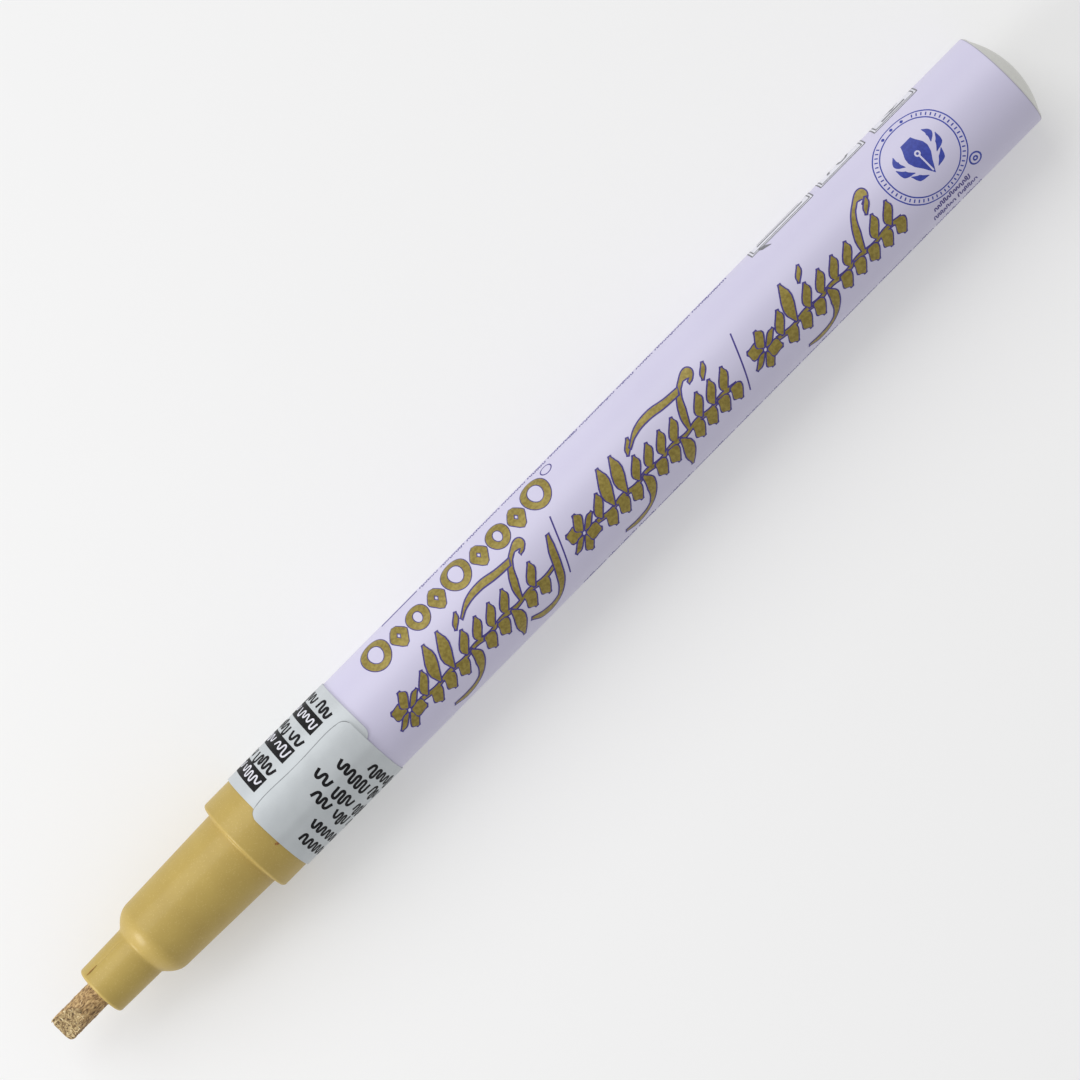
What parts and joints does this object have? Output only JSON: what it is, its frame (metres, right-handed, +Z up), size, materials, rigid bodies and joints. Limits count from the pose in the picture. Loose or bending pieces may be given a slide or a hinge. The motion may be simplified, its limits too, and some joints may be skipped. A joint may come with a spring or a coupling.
{
  "type": "calligraphy marker",
  "caption": "Slim paint marker with a broad chisel felt nib, gold plastic grip, printed aluminium barrel and a press-to-feed valve inside.",
  "frame": {"origin": "on the surface the marker lies on, below the middle of its length and its axis", "axes": "+X along the marker from the nib to the closed tail, +Z up out of the printed face, the marker lying on its side"},
  "size_m": [0.136, 0.0118, 0.0119],
  "materials": {
    "barrel": "satin lilac lacquer over thin aluminium",
    "label": "semi-gloss grey film",
    "grip": "satin gold with a fine pearl",
    "nib": "coarse bonded fibre soaked with gold paint",
    "feed": "soft felt",
    "valve_plastic": "natural moulded plastic",
    "stem_plastic": "natural moulded plastic",
    "seal_rubber": "black rubber",
    "spring": "drawn spring wire",
    "retainer_plastic": "natural moulded plastic",
    "ring_rubber": "dark grey rubber",
    "ball": "polished steel ball"
  },
  "bodies": {
    "barrel": {"barrel_tube": "barrel", "wrap_label": "label", "grip_section": "grip", "feed_sleeve": "feed", "valve_housing": "valve_plastic", "spring_retainer": "retainer_plastic", "valve_spring": "spring", "barrel_seal_ring": "ring_rubber"},
    "nib": {"chisel_nib": "nib"},
    "valve": {"valve_stem": "stem_plastic", "valve_seal": "seal_rubber"},
    "ball": {"mixing_ball": "ball"}
  },
  "joints": [
    {"name": "nib_press", "type": "slide", "parent": "barrel", "child": "nib", "axis": [1, 0, 0], "range_m": [0, 0.0018], "stiffness_N_per_m": 400, "springref_m": -0.005},
    {"name": "valve_lift", "type": "slide", "parent": "barrel", "child": "valve", "axis": [1, 0, 0], "range_m": [0, 0.0018], "deforming": ["valve_spring"]},
    {"name": "ball_roll", "type": "slide", "parent": "barrel", "child": "ball", "axis": [1, 0, 0], "range_m": [-0.085, 0]}
  ],
  "couplings": [
    {"joint": "valve_lift", "follows": "nib_press", "ratio": 1}
  ]
}
